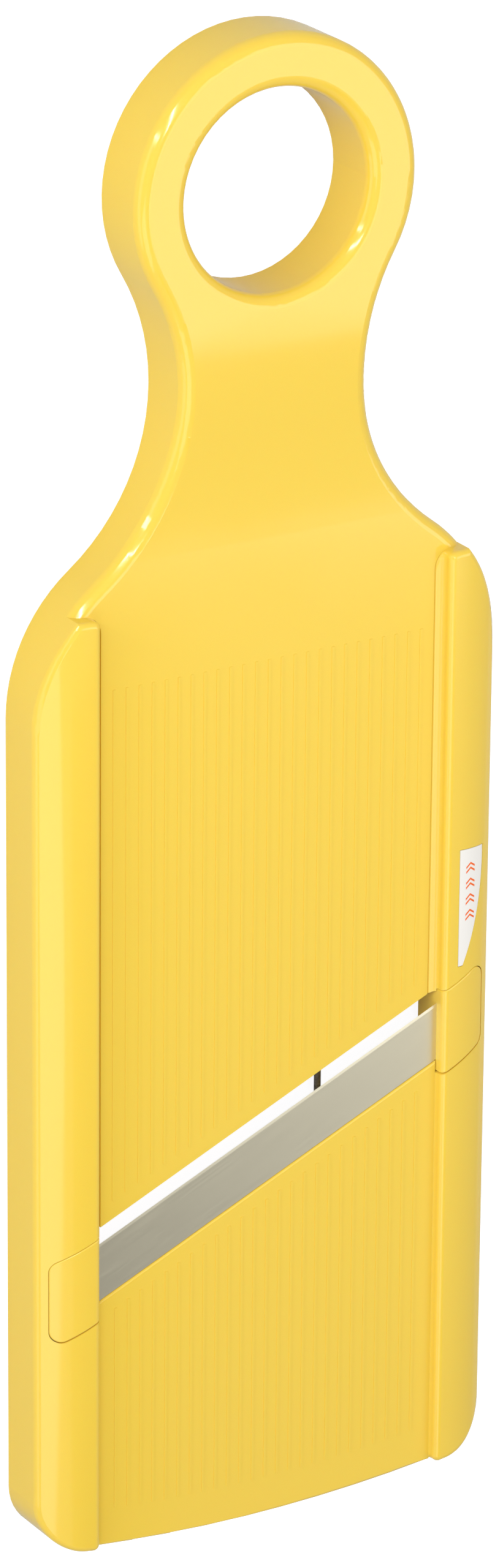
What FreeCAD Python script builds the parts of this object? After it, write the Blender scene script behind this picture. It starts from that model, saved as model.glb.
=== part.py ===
import FreeCAD, Part
import math
import os

import Sketcher
from FreeCAD import Placement, Rotation, Vector

# Hand-held slicer with a fixed oblique blade: one moulded body with a ring handle, two runner
# rails and two ribbed decks, and a blade unit that drops into the body from above.
# X runs across, +Y towards the ring handle, +Z out of the cutting side; z = 0 is the back rim.

SIZES = [
    ("body_length", 267.2, "ring top to the crown of the end edge"),
    ("body_width", 90.0, "across the rails"),
    ("deck_height", 10.0, "back rim to the feed deck"),
    ("ring_rise", 2.2, "face of the ring above the feed deck"),
    ("rear_deck_rise", 0.85, "deck behind the blade stands this much higher"),
    ("rail_height", 13.0, "back rim to the crown of the rails"),
    ("side_height", 9.5, "back rim to the outer edge of a rail"),
    ("wall", 2.2, "side wall of the moulding"),
    ("deck_wall", 2.4, "thickness of the feed deck"),
    ("ring_outer_r", 26.75, "hanging ring, outside"),
    ("ring_hole_r", 17.5, "hanging hole"),
    ("neck_half", 17.8, "half of the narrowest width of the neck"),
    ("neck_r", 38.0, "hollow curve of the neck"),
    ("shoulder_r", 30.0, "round of the shoulder"),
    ("corner_r", 9.5, "corners of the far end"),
    ("end_r", 300.0, "bow of the end edge"),
    ("front_round", 2.2, "rounding of the handle's front edges"),
    ("rail_inner", 34.0, "centre line to the inner wall of a rail"),
    ("rail_foot_r", 1.5, "hollow at the foot of a rail's inner wall"),
    ("rail_crown_r", 1.1, "rounding of a rail's crown"),
    ("rail_tip_r", 1.0, "rounding of a rail's tips"),
    ("rail_side_r", 1.8, "rounding of a rail's outer edge along the side"),
    ("nose_rise", 19.2, "rails' upper tip above the widest line of the shoulders"),
    ("nose_r", 3.4, "round of the rails' upper tip"),
    ("cut_angle", 24.4, "slant of the blade"),
    ("blade_from_end", 68.75, "blade's centre line, from the crown of the end edge"),
    ("blade_width", 9.6, "blade, edge to back"),
    ("blade_reach", 37.9, "centre line of the body to the middle of a blade end"),
    ("blade_thick", 0.6, "blade sheet"),
    ("bevel_width", 1.4, "bevel ground under the cutting edge"),
    ("blade_sink", 0.1, "blade's top below the rear deck"),
    ("slice_gap", 2.2, "mouth in front of the cutting edge"),
    ("unit_clear", 0.15, "clearance around the blade unit"),
    ("block_front", 7.25, "end block in front of the blade's centre line"),
    ("block_back", 6.85, "end block behind the blade's centre line"),
    ("block_outer", 43.0, "centre line to the outer side of an end block"),
    ("block_base", 4.8, "back rim to the underside of an end block"),
    ("block_corner_r", 2.0, "outer corners of an end block"),
    ("block_edge_r", 0.25, "broken edges of an end block"),
    ("carrier_base", 5.8, "back rim to the underside of the carrier bar"),
    ("ledge_top", 8.8, "back rim to the ledge under the carrier bar"),
    ("ledge_width", 1.6, "ledge under the carrier bar"),
    ("pin_r", 0.9, "blade pins"),
    ("pin_spread", 2.0, "blade pins, each side of the blade's centre line"),
    ("pin_inset", 1.8, "blade pins, from the blade's end"),
    ("stay_r", 0.6, "stay rod under the mouth"),
    ("stay_x", 13.5, "stay rod, from the centre line"),
    ("stay_z", 5.0, "stay rod, above the back rim"),
    ("stay_length", 26.0, "stay rod"),
    ("rib_count", 25, "sliding ribs on each deck"),
    ("rib_pitch", 2.5, "sliding ribs"),
    ("rib_width", 0.5, "sliding ribs"),
    ("rib_height", 0.1, "sliding ribs, above the deck"),
    ("rib_nose_gap", 13.7, "upper ends of the feed deck's ribs below the rails' tips"),
    ("rib_blade_gap", 3.0, "plain strip along the mouth and the blade"),
    ("rib_end_gap", 7.0, "plain strip along the end edge"),
    ("label_length", 21.5, "safety label"),
    ("label_width", 5.5, "safety label"),
    ("label_gap", 2.8, "safety label above the right end block's window"),
    ("label_x", 36.9, "safety label's straight side"),
    ("label_thick", 0.3, "safety label"),
]

doc = FreeCAD.newDocument("mandoline_slicer")
sheet = doc.addObject("Spreadsheet::Sheet", "Sizes")
for row, (alias, number, note) in enumerate(SIZES, start=1):
    sheet.set(f"A{row}", note)
    sheet.set(f"B{row}", str(number))
    sheet.setAlias(f"B{row}", alias)
doc.recompute()


def size(alias):
    return float(getattr(sheet, alias))


# Places that follow from the sizes
HALF_LENGTH = size("body_length") / 2
HALF_WIDTH = size("body_width") / 2
RING_Y = HALF_LENGTH - size("ring_outer_r")
DECK = size("deck_height")
REAR_DECK = DECK + size("rear_deck_rise")
CROWN = size("rail_height")
BLADE_TOP = REAR_DECK - size("blade_sink")
BLADE_BASE = BLADE_TOP - size("blade_thick")
SLANT = math.radians(size("cut_angle"))
CLEAR = size("unit_clear")
MOUTH_FRONT = size("blade_width") / 2 + size("slice_gap")
MOUTH_BACK = -size("blade_width") / 2 - CLEAR
CROWN_X = size("rail_inner") + size("rail_crown_r")
FACE_DROP = CROWN - size("side_height")
FACE_RUN = HALF_WIDTH - CROWN_X
FACE_R = (FACE_RUN ** 2 + FACE_DROP ** 2) / (2 * FACE_DROP)
BLADE_Y = size("blade_from_end") - HALF_LENGTH
BLADE_LENGTH = 2 * size("blade_reach") / math.cos(SLANT)
TALL = CROWN + 5


def add(kind, name, **properties):
    item = doc.addObject(kind, name)
    for key, value in properties.items():
        setattr(item, key, value)
    return item


def bind(item, **expressions):
    for key, expression in expressions.items():
        item.setExpression(key.replace("__", "."), expression)
    return item


def arc(centre, radius, start, end):
    """Arc from angle start to angle end, both in radians, counterclockwise"""
    return Part.ArcOfCircle(Part.Circle(Vector(*centre, 0), Vector(0, 0, 1), radius), start, end)


def line(a, b):
    return Part.LineSegment(Vector(*a, 0), Vector(*b, 0))


def sketch(name, shapes, placement=Placement(), radii=(), body=None):
    """A sketch of the given edges in order; radii ties arcs to cells as (edge, expression)"""
    if body:
        item = body.newObject("Sketcher::SketchObject", name)
    else:
        item = doc.addObject("Sketcher::SketchObject", name)
        item.Placement = placement
    item.addGeometry(shapes, False)
    for edge, expression in radii:
        number = item.addConstraint(Sketcher.Constraint("Radius", edge, shapes[edge].Radius))
        item.setExpression(f"Constraints[{number}]", expression)
    return item


def extrude(name, base, height):
    """Solid prism of a sketch along the sketch's normal; height is a cell expression"""
    item = add("Part::Extrusion", name, Base=base, DirMode="Normal", Solid=True)
    item.setExpression("LengthFwd", height)
    return item


def slanted(x, v):
    """Y of the point at x on the line v ahead of the blade's centre line"""
    return BLADE_Y + x * math.tan(SLANT) + v / math.cos(SLANT)


def outline(inset):
    """Edges of the body's outline, moved inwards, counterclockwise from the right shoulder"""
    ring_r = size("ring_outer_r") - inset
    neck_r = size("neck_r") + inset
    shoulder_r = size("shoulder_r") - inset
    corner_r = size("corner_r") - inset
    end_r = size("end_r") - inset
    neck_x = size("neck_half") + size("neck_r")
    neck_y = RING_Y - math.sqrt((ring_r + neck_r) ** 2 - neck_x ** 2)
    shoulder_x = HALF_WIDTH - size("shoulder_r")
    shoulder_y = neck_y - math.sqrt((neck_r + shoulder_r) ** 2 - (neck_x - shoulder_x) ** 2)
    end_y = -HALF_LENGTH + size("end_r")
    corner_x = HALF_WIDTH - size("corner_r")
    corner_y = end_y - math.sqrt((end_r - corner_r) ** 2 - corner_x ** 2)
    to_neck = math.atan2(neck_y - shoulder_y, neck_x - shoulder_x)
    to_ring = math.atan2(RING_Y - neck_y, -neck_x)
    to_corner = math.atan2(corner_y - end_y, corner_x)
    half = math.pi
    side_x = HALF_WIDTH - inset
    return [
        arc((shoulder_x, shoulder_y), shoulder_r, 0, to_neck),
        arc((neck_x, neck_y), neck_r, to_ring, to_neck + half),
        arc((0, RING_Y), ring_r, to_ring - half, 2 * half - to_ring),
        arc((-neck_x, neck_y), neck_r, -to_neck, half - to_ring),
        arc((-shoulder_x, shoulder_y), shoulder_r, half - to_neck, half),
        line((-side_x, shoulder_y), (-side_x, corner_y)),
        arc((-corner_x, corner_y), corner_r, half, half - to_corner),
        arc((0, end_y), end_r, -half - to_corner, to_corner),
        arc((corner_x, corner_y), corner_r, to_corner, 0),
        line((side_x, corner_y), (side_x, shoulder_y)),
    ]


def prism(name, shapes, low, height, radii=()):
    """Upright solid from a plan sketch: low is its height above z = 0, height a cell expression"""
    base = sketch(f"{name}_plan", shapes, Placement(Vector(0, 0, low), Rotation()), radii)
    return extrude(name, base, height)


def edges_where(shape, test):
    return [number for number, edge in enumerate(shape.Edges, start=1) if test(edge)]


def middle(edge):
    return edge.valueAt((edge.FirstParameter + edge.LastParameter) / 2)


def rounded(name, base, radius, test):
    doc.recompute()
    item = add("Part::Fillet", name, Base=base)
    item.Edges = [(number, radius, radius) for number in edges_where(base.Shape, test)]
    return item


def slanted_edges(x_low, x_high, v_low, v_high):
    """Plan of a slanted strip between two x and two lines parallel to the blade"""
    corners = [(x_low, slanted(x_low, v_low)), (x_high, slanted(x_high, v_low)),
               (x_high, slanted(x_high, v_high)), (x_low, slanted(x_low, v_high))]
    return [line(a, b) for a, b in zip(corners, corners[1:] + corners[:1])]


def mirrored(name, source):
    return add("Part::Mirroring", name, Source=source, Normal=Vector(1, 0, 0), Base=Vector(0, 0, 0))


# --- Body: one moulding -------------------------------------------------------------------------
OUTLINE = outline(0)
SHOULDER, NECK, RING = OUTLINE[0], OUTLINE[1], OUTLINE[2]
SIDE, CORNER, END = OUTLINE[9], OUTLINE[8], OUTLINE[7]
SHOULDER_X, SHOULDER_Y = SHOULDER.Center.x, SHOULDER.Center.y
NOSE_Y = SHOULDER_Y + size("nose_rise")
FOOT_X = size("rail_inner") - size("rail_foot_r")


def end_edge(x, inset=0.0):
    """Y of the bowed end edge at x"""
    return END.Center.y - math.sqrt((END.Radius - inset) ** 2 - x ** 2)


handle_edges = OUTLINE[:5] + [line((-HALF_WIDTH, SHOULDER_Y), (HALF_WIDTH, SHOULDER_Y)),
                              Part.Circle(Vector(0, RING_Y, 0), Vector(0, 0, 1), size("ring_hole_r"))]
handle_plan = prism("handle_plan_block", handle_edges, 0, str(TALL),
                    [(1, "Sizes.neck_r"), (2, "Sizes.ring_outer_r"), (6, "Sizes.ring_hole_r")])

# The handle's face: level with the deck at the shoulders, an easy S along the neck, level ring
rise = size("ring_rise")
rise_from = NOSE_Y + 8
rise_to = RING_Y - size("ring_hole_r") - 2
half_run = (rise_to - rise_from) / 2
rise_r = (half_run ** 2 + (rise / 2) ** 2) / rise
rise_turn = math.asin(half_run / rise_r)
face_low, face_high = SHOULDER_Y - 1, HALF_LENGTH + 1
face_edges = [
    line((face_low, -1), (face_high, -1)),
    line((face_high, -1), (face_high, DECK + rise)),
    line((face_high, DECK + rise), (rise_to, DECK + rise)),
    arc((rise_to, DECK + rise - rise_r), rise_r, math.pi / 2, math.pi / 2 + rise_turn),
    arc((rise_from, DECK + rise_r), rise_r, -math.pi / 2, rise_turn - math.pi / 2),
    line((rise_from, DECK), (face_low, DECK)),
    line((face_low, DECK), (face_low, -1)),
]
face_profile = sketch("face_profile", face_edges,
                      Placement(Vector(-HALF_WIDTH - 1, 0, 0), Rotation(Vector(1, 1, 1), 120)))
face_block = extrude("face_block", face_profile, "Sizes.body_width + 2")
handle_block = add("Part::MultiCommon", "handle_block", Shapes=[handle_plan, face_block])
handle = rounded("handle", handle_block, size("front_round"),
                 lambda edge: middle(edge).z > DECK - 0.01 and middle(edge).y > SHOULDER_Y + 0.01
                 and edge.Curve.TypeId != "Part::GeomLine")

deck_edges = OUTLINE[5:] + [line((-HALF_WIDTH, SHOULDER_Y), (HALF_WIDTH, SHOULDER_Y))]
feed_deck = prism("feed_deck", deck_edges, 0, "Sizes.deck_height",
                  [(1, "Sizes.corner_r"), (2, "Sizes.end_r"), (3, "Sizes.corner_r")])

foot_turn = math.asin(FOOT_X / END.Radius)
inner = size("rail_inner")
inner_turn = math.asin(inner / END.Radius)
rear_edges = [line((-inner, end_edge(inner)), (-inner, slanted(-inner, MOUTH_BACK))),
              line((-inner, slanted(-inner, MOUTH_BACK)), (inner, slanted(inner, MOUTH_BACK))),
              line((inner, slanted(inner, MOUTH_BACK)), (inner, end_edge(inner))),
              arc((0, END.Center.y), END.Radius, -math.pi / 2 - inner_turn, -math.pi / 2 + inner_turn)]
rear_block = prism("rear_block", rear_edges, 0, "Sizes.deck_height + Sizes.rear_deck_rise")
rear_deck = rounded("rear_deck", rear_block, 0.5,
                    lambda edge: abs(middle(edge).z - REAR_DECK) < 0.01 and abs(middle(edge).x) < 1)

# A rail: its cross-section runs the length of the body and is trimmed by its plan
face_centre = (CROWN_X, CROWN - FACE_R)
wall_top = CROWN - size("rail_crown_r")
foot_top = DECK + size("rail_foot_r")
face_start = math.atan2(size("side_height") - face_centre[1], FACE_RUN)
section_edges = [
    line((FOOT_X, 0), (HALF_WIDTH, 0)),
    line((HALF_WIDTH, 0), (HALF_WIDTH, size("side_height"))),
    arc(face_centre, FACE_R, face_start, math.pi / 2),
    arc((CROWN_X, wall_top), size("rail_crown_r"), math.pi / 2, math.pi),
    line((size("rail_inner"), wall_top), (size("rail_inner"), foot_top)),
    arc((FOOT_X, foot_top), size("rail_foot_r"), -math.pi / 2, 0),
    line((FOOT_X, DECK), (FOOT_X, 0)),
]
section = sketch("rail_section", section_edges,
                 Placement(Vector(0, HALF_LENGTH, 0), Rotation(Vector(1, 0, 0), 90)),
                 [(3, "Sizes.rail_crown_r"), (5, "Sizes.rail_foot_r")])
rail_run = extrude("rail_run", section, "Sizes.body_length")

nose_turn = math.asin(size("nose_rise") / SHOULDER.Radius)
nose_x = FOOT_X + size("nose_r")
nose_foot_y = NOSE_Y - size("nose_r")
nose_tip_x = SHOULDER_X + SHOULDER.Radius * math.cos(nose_turn)
rail_edges = [
    arc((SHOULDER_X, SHOULDER_Y), SHOULDER.Radius, 0, nose_turn),
    SIDE, CORNER,
    arc((0, END.Center.y), END.Radius, -math.pi / 2 + foot_turn, CORNER.FirstParameter),
    line((FOOT_X, end_edge(FOOT_X)), (FOOT_X, nose_foot_y)),
    arc((nose_x, nose_foot_y), size("nose_r"), math.pi / 2, math.pi),
    line((nose_x, NOSE_Y), (nose_tip_x, NOSE_Y)),
]
rail_block = prism("rail_block", rail_edges, 0, "Sizes.rail_height", [(5, "Sizes.nose_r")])
rail_square = add("Part::MultiCommon", "rail_square", Shapes=[rail_run, rail_block])

def is_rail_rim(edge):
    """True on the outer rim of the rail's top: nose, shoulder, side, corner and end"""
    point = middle(edge)
    if point.z < size("side_height") - 0.01:
        return False
    if abs(point.x - HALF_WIDTH) < 0.01:
        return True
    return len({round(vertex.Z, 3) for vertex in edge.Vertexes}) == 2 and point.x > CROWN_X


def rim_radius(vertex):
    on_side = abs(vertex.X - HALF_WIDTH) < 0.01
    return size("rail_side_r") if on_side else size("rail_tip_r")


doc.recompute()
rail = add("Part::Fillet", "rail", Base=rail_square)
rail.Edges = [(number, rim_radius(rail_square.Shape.Edges[number - 1].Vertexes[0]),
               rim_radius(rail_square.Shape.Edges[number - 1].Vertexes[-1]))
              for number in edges_where(rail_square.Shape, is_rail_rim)]
rail_left = mirrored("rail_left", rail)

slab = add("Part::MultiFuse", "slab", Shapes=[handle, feed_deck])
rail_room = add("Part::MultiFuse", "rail_room", Shapes=[rail_block, mirrored("rail_block_left", rail_block)])
slab_between = add("Part::Cut", "slab_between", Base=slab, Tool=rail_room)
outside = add("Part::MultiFuse", "outside", Shapes=[slab_between, rear_deck, rail, rail_left])

# Hollow back: side walls all round, a wall round the hanging hole, hollows under the rails
hollow = prism("hollow", outline(size("wall")), 0, "Sizes.deck_height - Sizes.deck_wall")
hole_wall = add("Part::Cylinder", "hole_wall", Placement=Placement(Vector(0, RING_Y, 0), Rotation()))
bind(hole_wall, Radius="Sizes.ring_hole_r + Sizes.wall", Height="Sizes.deck_height")
RAIL_HOLLOW = {"x": size("rail_inner") + 2, "width": 4.4, "top": 9.8,
               "low_y": 17.6 - HALF_LENGTH, "high_y": NOSE_Y - 8.8}
rail_hollow = add("Part::Box", "rail_hollow",
                  Placement=Placement(Vector(RAIL_HOLLOW["x"], RAIL_HOLLOW["low_y"], 0), Rotation()),
                  Length=RAIL_HOLLOW["width"], Width=RAIL_HOLLOW["high_y"] - RAIL_HOLLOW["low_y"],
                  Height=RAIL_HOLLOW["top"])
rail_hollow_left = mirrored("rail_hollow_left", rail_hollow)

# Cross ribs stand inside the hollow
RIB_YS = [29.6 - HALF_LENGTH, SHOULDER_Y - 33.6, SHOULDER_Y + 10.4, SHOULDER_Y + 36.4]
CROSS_RIB_THICK = 1.6
CROSS_RIB_LOW = 3.5
cross_bars = []
for number, rib_y in enumerate(RIB_YS, start=1):
    bar = add("Part::Box", f"cross_bar_{number}",
              Placement=Placement(Vector(-HALF_WIDTH, rib_y, CROSS_RIB_LOW), Rotation()),
              Width=CROSS_RIB_THICK, Height=DECK - CROSS_RIB_LOW)
    bind(bar, Length="Sizes.body_width")
    cross_bars.append(bar)
cross_bar_set = add("Part::MultiFuse", "cross_bar_set", Shapes=cross_bars)
cross_ribs = add("Part::MultiCommon", "cross_ribs", Shapes=[cross_bar_set, hollow])

inside = add("Part::MultiFuse", "inside", Shapes=[hollow, rail_hollow, rail_hollow_left])
inside_clear = add("Part::Cut", "inside_clear", Base=inside, Tool=hole_wall)
shell = add("Part::Cut", "shell", Base=outside, Tool=inside_clear)

# Shelves under the end blocks, and bosses that hold the stay rod
SHELF_THICK = 1.6
SHELF_X = size("rail_inner") + 4.5
window_back = -(size("block_back") + CLEAR)
window_front = size("block_front") + CLEAR
shelf_low = size("block_base") - SHELF_THICK
shelf_right = prism("shelf_right", slanted_edges(SHELF_X, HALF_WIDTH - 1, window_back, window_front),
                    shelf_low, str(SHELF_THICK))
shelf_left = prism("shelf_left", slanted_edges(1 - HALF_WIDTH, -SHELF_X, window_back, window_front),
                   shelf_low, str(SHELF_THICK))

BOSS_WIDTH = 3.2
BOSS_DEPTH = 4.0
STAY_SEAT = 3.0
stay_front = slanted(size("stay_x"), MOUTH_FRONT) + 1.0 + STAY_SEAT
stay_back = stay_front - size("stay_length")
boss_low = size("stay_z") - BOSS_WIDTH / 2
bosses = []
for name, boss_y in (("boss_front", stay_front - STAY_SEAT), ("boss_back", stay_back + STAY_SEAT - BOSS_DEPTH)):
    boss = add("Part::Box", name,
               Placement=Placement(Vector(size("stay_x") - BOSS_WIDTH / 2, boss_y, boss_low), Rotation()),
               Length=BOSS_WIDTH, Width=BOSS_DEPTH, Height=DECK - boss_low - 1)
    bosses.append(boss)

# Sliding ribs: one row on each deck, cut off along the blade and the bowed end
RIB_SINK = 0.2
sliding_ribs = []


def sliding_rib(name, x, low_y, high_y, deck, deck_cell):
    rib = add("Part::Box", name, Width=high_y - low_y)
    rib.Placement = Placement(Vector(x - size("rib_width") / 2, low_y, deck - RIB_SINK), Rotation())
    bind(rib, Length="Sizes.rib_width", Height=f"Sizes.rib_height + {RIB_SINK}")
    rib.setExpression("Placement.Base.z", f"{deck_cell} - {RIB_SINK}")
    sliding_ribs.append(rib)


rib_count = int(size("rib_count"))
for number in range(rib_count):
    x = (number - (rib_count - 1) / 2) * size("rib_pitch")
    front_low = slanted(x, MOUTH_FRONT + size("rib_blade_gap"))
    rear_high = slanted(x, MOUTH_BACK - size("rib_blade_gap"))
    sliding_rib(f"feed_rib_{number + 1}", x, front_low, NOSE_Y - size("rib_nose_gap"), DECK, "Sizes.deck_height")
    sliding_rib(f"rear_rib_{number + 1}", x, end_edge(x, size("rib_end_gap")), rear_high, REAR_DECK,
                "Sizes.deck_height + Sizes.rear_deck_rise")

solid_body = add("Part::MultiFuse", "solid_body",
                 Shapes=[shell, cross_ribs, shelf_right, shelf_left] + bosses + sliding_ribs)

# Openings: the mouth, the seat of the carrier bar, windows for the end blocks, the label's recess
mouth = prism("mouth", slanted_edges(-inner, inner, MOUTH_BACK + size("ledge_width"), MOUTH_FRONT),
              -1, str(TALL))
seat = prism("seat", slanted_edges(-inner, inner, MOUTH_BACK, MOUTH_FRONT), size("ledge_top"), str(TALL))


def round_outer(name, base, radius, outer_x):
    """Rounds the two upright edges on the outer side of a block or its window"""
    return rounded(name, base, radius,
                   lambda edge: abs(abs(middle(edge).x) - outer_x) < 0.01
                   and abs(edge.Vertexes[0].Z - edge.Vertexes[-1].Z) > 1)


window_outer = size("block_outer") + CLEAR
window_round = size("block_corner_r") + CLEAR
windows = []
for side, low_x, high_x in (("right", inner - CLEAR, window_outer), ("left", -window_outer, CLEAR - inner)):
    square = prism(f"window_{side}_square", slanted_edges(low_x, high_x, window_back, window_front),
                   size("block_base"), str(TALL))
    windows.append(round_outer(f"window_{side}", square, window_round, window_outer))


def face_cylinder(name, offset):
    """Cylinder of a rail's outer face, moved outwards by offset"""
    item = add("Part::Cylinder", name, Radius=FACE_R + offset, Height=2 * HALF_LENGTH)
    item.Placement = Placement(Vector(CROWN_X, HALF_LENGTH, CROWN - FACE_R), Rotation(Vector(1, 0, 0), 90))
    return item


LABEL_SINK = 0.05
LABEL_SLOPE = 0.4
LABEL_TIP = 1.0
LABEL_BOW = 1.4


def label_edges(grow):
    """Plan of the safety label: a straight side, a short top and a bowed side down to the tip"""
    left = size("label_x") - grow
    right = size("label_x") + size("label_width") + grow
    foot = slanted(size("label_x"), window_front) + size("label_gap")
    top = foot + size("label_length") + grow
    low = foot - grow
    tip = left + LABEL_TIP + grow
    bow = Vector((right + tip) / 2 + LABEL_BOW, (top + low) / 2, 0)
    bowed = Part.Arc(Vector(right, top - LABEL_SLOPE, 0), bow, Vector(tip, low, 0))
    return [line((left, low), (left, top)), line((left, top), (right, top - LABEL_SLOPE)),
            bowed, line((tip, low), (left, low))]


label_floor = face_cylinder("label_floor", -LABEL_SINK - size("label_thick"))
recess_block = prism("recess_block", label_edges(0.1), size("side_height"), str(TALL))
label_recess = add("Part::Cut", "label_recess", Base=recess_block, Tool=label_floor)

stay_hole = add("Part::Cylinder", "stay_hole")
bind(stay_hole, Radius="Sizes.stay_r", Height="Sizes.stay_length")
stay_place = Placement(Vector(size("stay_x"), stay_front, size("stay_z")), Rotation(Vector(1, 0, 0), 90))
stay_hole.Placement = stay_place

openings = add("Part::MultiFuse", "openings", Shapes=[mouth, seat, stay_hole, label_recess] + windows)
body = add("Part::Cut", "body", Base=solid_body, Tool=openings)

# --- Blade: hardened strip with a bevel ground under its cutting edge ----------------------------
half_blade = size("blade_width") / 2
thick = size("blade_thick")
EDGE_LAND = 0.05
blade_body = add("PartDesign::Body", "blade")
blade_points = [(-half_blade, 0), (half_blade - size("bevel_width"), 0), (half_blade, thick - EDGE_LAND),
                (half_blade - 0.5, thick), (-half_blade, thick)]
blade_sketch = sketch("blade_section", [line(a, b) for a, b in zip(blade_points, blade_points[1:] + blade_points[:1])],
                      body=blade_body)
origin_planes = {item.Role: item for item in blade_body.Origin.OriginFeatures}
blade_sketch.AttachmentSupport = [(origin_planes["YZ_Plane"], "")]
blade_sketch.MapMode = "FlatFace"
blade_pad = blade_body.newObject("PartDesign::Pad", "blade_pad")
blade_pad.Profile = blade_sketch
blade_pad.Midplane = True
blade_pad.setExpression("Length", "2 * Sizes.blade_reach / cos(Sizes.cut_angle * 1 deg)")
blade_place = Placement(Vector(0, BLADE_Y, BLADE_BASE),
                        Rotation(Vector(0, 0, 1), size("cut_angle")))
blade_body.Placement = blade_place
doc.recompute()

# --- Pins that hold the blade in the end blocks ---------------------------------------------------
PIN_TOP = BLADE_TOP + 0.8
pin_along = BLADE_LENGTH / 2 - size("pin_inset")
pins = []
for side in (-1, 1):
    for across in (-1, 1):
        spot = blade_place.multVec(Vector(side * pin_along, across * size("pin_spread"), 0))
        pin = add("Part::Cylinder", f"pin_{len(pins) + 1}")
        pin.Placement = Placement(Vector(spot.x, spot.y, size("block_base")), Rotation())
        bind(pin, Radius="Sizes.pin_r")
        pin.Height = PIN_TOP - size("block_base")
        pins.append(pin)
blade_pins = add("Part::Compound", "blade_pins", Links=pins)
blade_drilled = add("Part::Cut", "blade_drilled", Base=blade_body, Tool=blade_pins)

# --- End blocks: they carry the rails' section on over the blade's ends --------------------------
def is_block_rim(edge):
    """True on the rim of a block's top, not on its upright edges or the lines along the rail"""
    point = middle(edge)
    along_rail = abs(edge.tangentAt(edge.FirstParameter).y) > 0.999
    return point.z > foot_top and not (along_rail and abs(point.x) < CROWN_X + 0.01) or (
        along_rail and abs(abs(point.x) - size("block_outer")) < 0.01 and point.z > size("side_height"))


rail_run_left = mirrored("rail_run_left", rail_run)
blade_and_pins = add("Part::MultiFuse", "blade_and_pins", Shapes=[blade_body, blade_pins])
blocks = {}
for side, low_x, high_x, run in (("right", inner, size("block_outer"), rail_run),
                                 ("left", -size("block_outer"), -inner, rail_run_left)):
    square = prism(f"block_{side}_square",
                   slanted_edges(low_x, high_x, -size("block_back"), size("block_front")),
                   size("block_base"), str(TALL))
    round_block = round_outer(f"block_{side}_round", square, size("block_corner_r"), size("block_outer"))
    topped = add("Part::MultiCommon", f"block_{side}_topped", Shapes=[round_block, run])
    eased = rounded(f"block_{side}_eased", topped, size("block_edge_r"), is_block_rim)
    blocks[side] = add("Part::Cut", f"block_{side}_whole", Base=eased, Tool=blade_and_pins)

# --- Carrier bar under the blade ------------------------------------------------------------------
FLANGE_FRONT = 2.8
LEG_FRONT = 1.2
leg_back = MOUTH_BACK + size("ledge_width") + CLEAR
flange = prism("flange", slanted_edges(-inner, inner, -half_blade, FLANGE_FRONT),
               size("ledge_top"), str(BLADE_BASE - size("ledge_top")))
leg = prism("leg", slanted_edges(-inner, inner, leg_back, LEG_FRONT), size("carrier_base"),
            str(BLADE_BASE - size("carrier_base")))
carrier = add("Part::MultiFuse", "carrier", Shapes=[flange, leg])

# --- Stay rod and safety label ----------------------------------------------------------------------
stay = add("Part::Cylinder", "stay")
bind(stay, Radius="Sizes.stay_r", Height="Sizes.stay_length")
stay.Placement = stay_place
label_top = face_cylinder("label_top", -LABEL_SINK)
label_block = prism("label_block", label_edges(0), size("side_height"), str(TALL))
label_sheet = add("Part::Cut", "label_sheet", Base=label_block, Tool=label_floor)
label = add("Part::MultiCommon", "label", Shapes=[label_sheet, label_top])

PARTS = {
    "slicer_body": body,
    "blade_strip": blade_drilled,
    "blade_end_right": blocks["right"],
    "blade_end_left": blocks["left"],
    "blade_carrier": carrier,
    "blade_pin_set": blade_pins,
    "mouth_stay": stay,
    "safety_label": label,
}
for node, item in PARTS.items():
    item.Label = node

# A size beyond what its fillets bear can drop the rails without an error, so count what came out
SOLID_COUNTS = {"blade_pin_set": 4}
WIDTH_TOLERANCE = 0.1
doc.recompute()
for item in doc.Objects:
    if "Invalid" in item.State or "Error" in item.State:
        raise RuntimeError(f"{item.Label} failed to build: {item.State}")
os.makedirs("parts", exist_ok=True)
for node, item in PARTS.items():
    if item.Shape.isNull() or not item.Shape.isValid():
        raise RuntimeError(f"{node} has no valid shape")
    if len(item.Shape.Solids) != SOLID_COUNTS.get(node, 1):
        raise RuntimeError(f"{node} came out as {len(item.Shape.Solids)} solids")
    if node == "slicer_body" and abs(item.Shape.BoundBox.XLength - size("body_width")) > WIDTH_TOLERANCE:
        raise RuntimeError("slicer_body has lost its rails")
for node, item in PARTS.items():
    item.Shape.exportStep(f"parts/{node}.step")
    print(node, round(item.Shape.Volume, 1), len(item.Shape.Solids), item.Shape.BoundBox)
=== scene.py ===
"""Mandoline slicer: yellow moulded body with a ring handle, slanted steel blade in a lift-out unit."""
import math

import bpy
from mathutils import Matrix, Vector


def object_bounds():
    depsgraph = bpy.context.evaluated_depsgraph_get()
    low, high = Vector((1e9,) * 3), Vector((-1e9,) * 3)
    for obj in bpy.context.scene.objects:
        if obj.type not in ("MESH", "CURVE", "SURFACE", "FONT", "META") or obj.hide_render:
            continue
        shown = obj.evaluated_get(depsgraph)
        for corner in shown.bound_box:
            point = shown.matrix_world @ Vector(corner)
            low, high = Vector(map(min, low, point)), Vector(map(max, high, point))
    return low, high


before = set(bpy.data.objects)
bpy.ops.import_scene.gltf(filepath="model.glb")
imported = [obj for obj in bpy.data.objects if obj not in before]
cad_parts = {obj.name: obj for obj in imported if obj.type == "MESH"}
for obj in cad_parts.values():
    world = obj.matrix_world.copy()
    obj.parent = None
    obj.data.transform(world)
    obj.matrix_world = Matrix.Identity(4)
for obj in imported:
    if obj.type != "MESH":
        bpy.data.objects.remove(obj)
cad_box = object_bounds()

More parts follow.
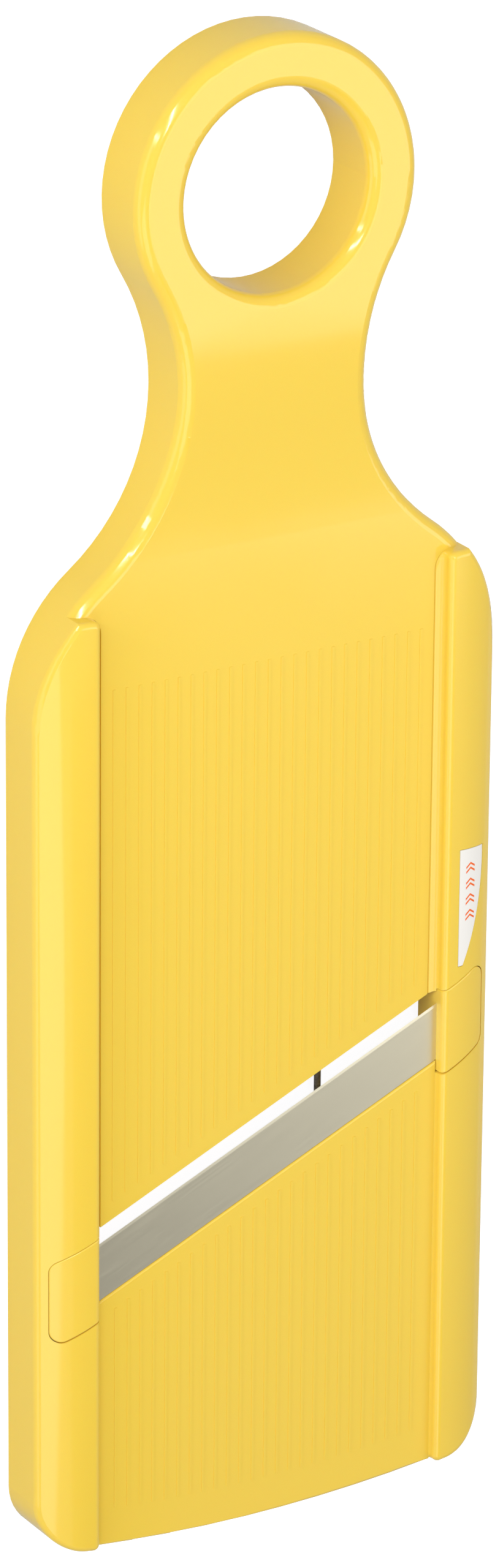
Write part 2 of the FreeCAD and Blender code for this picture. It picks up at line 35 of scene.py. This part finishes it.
# ---------------------------------------------------------------------------
# Slicer body: one injection moulding in gloss ABS, ring handle, rails and decks
# together. It comes from a polished tool, so its skin is smooth and shiny, with
# the slow waviness of a cooled moulding under a very fine grain.
# ---------------------------------------------------------------------------
BODY_YELLOW = "#EECB4C"
MM = 0.001
DULL_PATCH = 18 * MM
FLOW_WAVE = 30 * MM
SKIN_GRAIN = 0.3 * MM
LIGHT_REACH = 1.2 * MM


def linear(hex_colour):
    """sRGB hex to the linear colour that shaders take."""
    parts = [int(hex_colour[place:place + 2], 16) / 255 for place in (1, 3, 5)]
    parts = [part / 12.92 if part <= 0.04045 else ((part + 0.055) / 1.055) ** 2.4 for part in parts]
    return (*parts, 1.0)


def new_material(name):
    """An empty node material with its principled shader."""
    material = bpy.data.materials.new(name)
    material.use_nodes = True
    return material, material.node_tree.nodes["Principled BSDF"]


def node(material, kind, settings=None, **links):
    """Adds a node: settings are its properties and socket values, links its inputs by socket name."""
    item = material.node_tree.nodes.new(kind)
    for key, value in (settings or {}).items():
        if hasattr(item, key):
            setattr(item, key, value)
        else:
            item.inputs[key].default_value = value
    for key, source in links.items():
        material.node_tree.links.new(source, item.inputs[key.replace("_", " ")])
    return item


def gloss_abs(name, colour):
    """Gloss ABS, injection moulded: clear, slightly soft reflections over a solid colour."""
    material, shader = new_material(name)
    links = material.node_tree.links
    shader.inputs["Base Color"].default_value = linear(colour)
    shader.inputs["IOR"].default_value = 1.53
    # Light carries about 1 mm into the plastic, so thin edges and gaps stay warm
    shader.inputs["Subsurface Weight"].default_value = 0.15
    shader.inputs["Subsurface Radius"].default_value = (1.0, 0.45, 0.08)
    shader.inputs["Subsurface Scale"].default_value = LIGHT_REACH
    place = node(material, "ShaderNodeTexCoord").outputs["Object"]
    # Handling dulls the gloss in soft patches
    patches = node(material, "ShaderNodeTexNoise", {"Scale": 1 / DULL_PATCH, "Detail": 3.0}, Vector=place)
    dulled = node(material, "ShaderNodeMapRange", {"To Min": 0.09, "To Max": 0.15},
                  Value=patches.outputs["Fac"])
    links.new(dulled.outputs["Result"], shader.inputs["Roughness"])
    # Sink and flow waves of the moulding, then the grain of its skin
    waves = node(material, "ShaderNodeTexNoise", {"Scale": 1 / FLOW_WAVE, "Detail": 1.0}, Vector=place)
    wavy = node(material, "ShaderNodeBump", {"Strength": 0.15, "Distance": 0.1 * MM},
                Height=waves.outputs["Fac"])
    grain = node(material, "ShaderNodeTexNoise", {"Scale": 1 / SKIN_GRAIN, "Detail": 1.0}, Vector=place)
    grainy = node(material, "ShaderNodeBump", {"Strength": 0.05, "Distance": 0.004 * MM},
                  Height=grain.outputs["Fac"], Normal=wavy.outputs["Normal"])
    links.new(grainy.outputs["Normal"], shader.inputs["Normal"])
    return material


def dress(node_name, material):
    """Gives a CAD node's object its material."""
    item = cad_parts[node_name]
    item.data.materials.clear()
    item.data.materials.append(material)


body_abs = gloss_abs("gloss_abs_moulded", BODY_YELLOW)
dress("slicer_body", body_abs)

# ---------------------------------------------------------------------------
# Blade unit: end blocks and carrier bar in the same gloss ABS as the body,
# moulded apart in another tool and pressed in.
# ---------------------------------------------------------------------------
BLOCK_YELLOW = "#EECB4E"
block_abs = gloss_abs("gloss_abs_end_blocks", BLOCK_YELLOW)
for name in ("blade_end_right", "blade_end_left", "blade_carrier"):
    dress(name, block_abs)

# ---------------------------------------------------------------------------
# Blade: cold-rolled stainless strip, surface-ground along its length, with the
# bevel ground under its front edge. The fine grooves of the wheel spread the
# reflections across the strip.
# ---------------------------------------------------------------------------
BLADE_SLANT = 24.4
GROOVE_LENGTH = 9 * MM
GROOVE_WIDTH = 0.12 * MM
GROOVE_DEPTH = 0.006 * MM
steel, steel_shader = new_material("stainless_surface_ground")
steel_shader.inputs["Metallic"].default_value = 1.0
steel_shader.inputs["Base Color"].default_value = linear("#E4DDC4")
steel_place = node(steel, "ShaderNodeTexCoord").outputs["Object"]
along = node(steel, "ShaderNodeMapping",
             {"vector_type": "TEXTURE", "Rotation": (0, 0, math.radians(BLADE_SLANT)),
              "Scale": (GROOVE_LENGTH, GROOVE_WIDTH, GROOVE_WIDTH)}, Vector=steel_place)
grooves = node(steel, "ShaderNodeTexNoise", {"Scale": 1.0, "Detail": 3.0}, Vector=along.outputs["Vector"])
groove_dull = node(steel, "ShaderNodeMapRange", {"To Min": 0.3, "To Max": 0.46}, Value=grooves.outputs["Fac"])
groove_bump = node(steel, "ShaderNodeBump", {"Strength": 0.5, "Distance": GROOVE_DEPTH},
                   Height=grooves.outputs["Fac"])
steel.node_tree.links.new(groove_dull.outputs["Result"], steel_shader.inputs["Roughness"])
steel.node_tree.links.new(groove_bump.outputs["Normal"], steel_shader.inputs["Normal"])
dress("blade_strip", steel)

# ---------------------------------------------------------------------------
# Pins and stay rod: drawn stainless wire, coloured dark grey mottled with
# lighter grey in fine specks about 0.5 mm across.
# ---------------------------------------------------------------------------
WIRE_SPECK = 0.5 * MM
wire, wire_shader = new_material("stainless_drawn_wire")
wire_shader.inputs["Metallic"].default_value = 0.8
wire_shader.inputs["Roughness"].default_value = 0.5
wire_place = node(wire, "ShaderNodeTexCoord").outputs["Object"]
specks = node(wire, "ShaderNodeTexNoise", {"Scale": 1 / WIRE_SPECK, "Detail": 2.0}, Vector=wire_place)
speckled = node(wire, "ShaderNodeMix", {"data_type": "RGBA", "A": linear("#3C3D40"), "B": linear("#A9A9A8")},
                Factor=specks.outputs["Fac"])
wire.node_tree.links.new(speckled.outputs["Result"], wire_shader.inputs["Base Color"])
for name in ("blade_pin_set", "mouth_stay"):
    dress(name, wire)

# ---------------------------------------------------------------------------
# Safety label: satin white film, die cut, with pairs of orange chevrons printed
# down its middle. It lies in its recess on the right rail.
# ---------------------------------------------------------------------------
film, film_shader = new_material("printed_satin_film")
film_shader.inputs["Roughness"].default_value = 0.4


def compute(kind, first, second=0):
    """One arithmetic node; a number becomes a constant on its socket."""
    item = film.node_tree.nodes.new("ShaderNodeMath")
    item.operation = kind
    for socket, value in zip(item.inputs, (first, second)):
        if isinstance(value, (int, float)):
            socket.default_value = value
        else:
            film.node_tree.links.new(value, socket)
    return item.outputs[0]


PRINT_X = 39.4 * MM
PRINT_TOP = -18.2 * MM
PRINT_LOW = -29.8 * MM
PAIR_PITCH = 2.9 * MM
HALF_PRINT = 1.05 * MM
CHEVRON_SLOPE = 0.7
STROKES = (0.3, 0.6)
HALF_STROKE = 0.065
film_place = node(film, "ShaderNodeSeparateXYZ", Vector=node(film, "ShaderNodeTexCoord").outputs["Object"])
aside = compute("ABSOLUTE", compute("SUBTRACT", film_place.outputs["X"], PRINT_X))
leaning = compute("ADD", film_place.outputs["Y"], compute("MULTIPLY", aside, CHEVRON_SLOPE))
turned = compute("FRACT", compute("DIVIDE", leaning, PAIR_PITCH))
# Each stroke is a band of the pattern's repeat, HALF_STROKE to each side of its middle
strokes = [compute("COMPARE", turned, middle_of_stroke) for middle_of_stroke in STROKES]
for stroke in strokes:
    stroke.node.inputs[2].default_value = HALF_STROKE
printed = compute("MAXIMUM", *strokes)
for limit in (compute("LESS_THAN", aside, HALF_PRINT),
              compute("LESS_THAN", film_place.outputs["Y"], PRINT_TOP),
              compute("GREATER_THAN", film_place.outputs["Y"], PRINT_LOW)):
    printed = compute("MULTIPLY", printed, limit)
inked = node(film, "ShaderNodeMix", {"data_type": "RGBA", "A": linear("#EFECE6"), "B": linear("#F26608")},
             Factor=printed)
film.node_tree.links.new(inked.outputs["Result"], film_shader.inputs["Base Color"])
dress("safety_label", film)

# ---------------------------------------------------------------------------
# Camera: a long lens above the handle end, looking down across the slicer
# ---------------------------------------------------------------------------
low, high = (Vector(corner) for corner in cad_box)
middle = (low + high) / 2
TARGET = Vector((middle.x - 4.9 * MM, middle.y + 4.3 * MM, low.z + 12 * MM))
TO_CAMERA = Vector((-0.4822, 0.3594, 0.7989))
CAMERA_DISTANCE = 1.2627
TOP_OF_VIEW = Vector((-0.0093, 1, 0))

camera_data = bpy.data.cameras.new("camera")
camera_data.lens = 172.6
camera_data.sensor_width = 36
camera_data.clip_start = 0.01
camera = bpy.data.objects.new("camera", camera_data)
bpy.context.collection.objects.link(camera)
back = TO_CAMERA.normalized()
right = TOP_OF_VIEW.cross(back).normalized()
up = back.cross(right)
camera.matrix_world = Matrix.Translation(TARGET + back * CAMERA_DISTANCE) @ Matrix(
    (right, up, back)).transposed().to_4x4()
bpy.context.scene.camera = camera

# ---------------------------------------------------------------------------
# Light table: a matt acrylic sheet, lit from below only for the eye, so the
# slicer stands on plain white
# ---------------------------------------------------------------------------
FLOOR_HALF = 3.0
FLOOR_GAP = 0.2 * MM


def flat_corners(half_width, half_depth):
    """The four corners of a level sheet about its own middle."""
    return [(-half_width, -half_depth, 0), (half_width, -half_depth, 0),
            (half_width, half_depth, 0), (-half_width, half_depth, 0)]


floor_mesh = bpy.data.meshes.new("floor")
floor_mesh.from_pydata(flat_corners(FLOOR_HALF, FLOOR_HALF), [], [(0, 1, 2, 3)])
floor = bpy.data.objects.new("floor", floor_mesh)
floor.location.z = low.z - FLOOR_GAP
bpy.context.collection.objects.link(floor)
acrylic, floor_shader = new_material("light_table_acrylic")
floor_shader.inputs["Base Color"].default_value = linear("#AEAFB1")
floor_shader.inputs["Roughness"].default_value = 0.9
floor_shader.inputs["Specular IOR Level"].default_value = 0.1
floor_shader.inputs["Emission Color"].default_value = linear("#F8FAFF")
to_eye = node(acrylic, "ShaderNodeLightPath").outputs["Is Camera Ray"]
glow = node(acrylic, "ShaderNodeMapRange", {"To Min": 0.18, "To Max": 0.93}, Value=to_eye)
acrylic.node_tree.links.new(glow.outputs["Result"], floor_shader.inputs["Emission Strength"])
floor_mesh.materials.append(acrylic)

# ---------------------------------------------------------------------------
# Studio light: an even white tent, a broad panel that the upper deck mirrors,
# a soft panel along the left rail and two strips beyond the ring end whose
# reflections run as thin lines along the handle's rounded edges
# ---------------------------------------------------------------------------
world = bpy.data.worlds.new("studio")
bpy.context.scene.world = world
world.use_nodes = True
world.node_tree.nodes["Background"].inputs["Color"].default_value = (1, 1, 1, 1)
world.node_tree.nodes["Background"].inputs["Strength"].default_value = 0.46


def soft_box(name, place, width, height, glow):
    """A rectangular soft light at place, turned to the slicer; glow is its radiance."""
    data = bpy.data.lights.new(name, "AREA")
    data.shape = "RECTANGLE"
    data.size = width
    data.size_y = height
    data.energy = glow * math.pi * width * height
    item = bpy.data.objects.new(name, data)
    item.location = place
    item.rotation_euler = (middle - Vector(place)).to_track_quat("-Z", "Y").to_euler()
    bpy.context.collection.objects.link(item)


soft_box("deck_panel", (0.6, 0.0, 1.0), 0.7, 0.9, 2.3)
soft_box("rail_panel", (-0.55, -0.4, 0.85), 0.5, 0.6, 1.65)
soft_box("side_panel", (-1.1, 0.0, 0.3), 1.4, 0.5, 1.15)
soft_box("upper_strip", (-0.45, 0.55, 0.85), 0.05, 0.9, 34.0)
soft_box("lower_strip", (-0.95, 0.6, 0.5), 0.05, 0.9, 22.0)

# Black card beside the panels: the blade's left end mirrors it and goes dark. The
# camera doesn't see the card itself, so that it stays out of the other views
flag_mesh = bpy.data.meshes.new("flag_card")
flag_mesh.from_pydata(flat_corners(0.11, 0.15), [], [(0, 1, 2, 3)])
flag_card = bpy.data.objects.new("flag_card", flag_mesh)
flag_card.location = (0.065, -0.25, 0.35)
flag_card.visible_camera = False
bpy.context.collection.objects.link(flag_card)
black_card, black_shader = new_material("black_flock_card")
black_shader.inputs["Base Color"].default_value = linear("#101010")
black_shader.inputs["Roughness"].default_value = 0.9
flag_mesh.materials.append(black_card)

bpy.context.scene.view_settings.view_transform = "Standard"
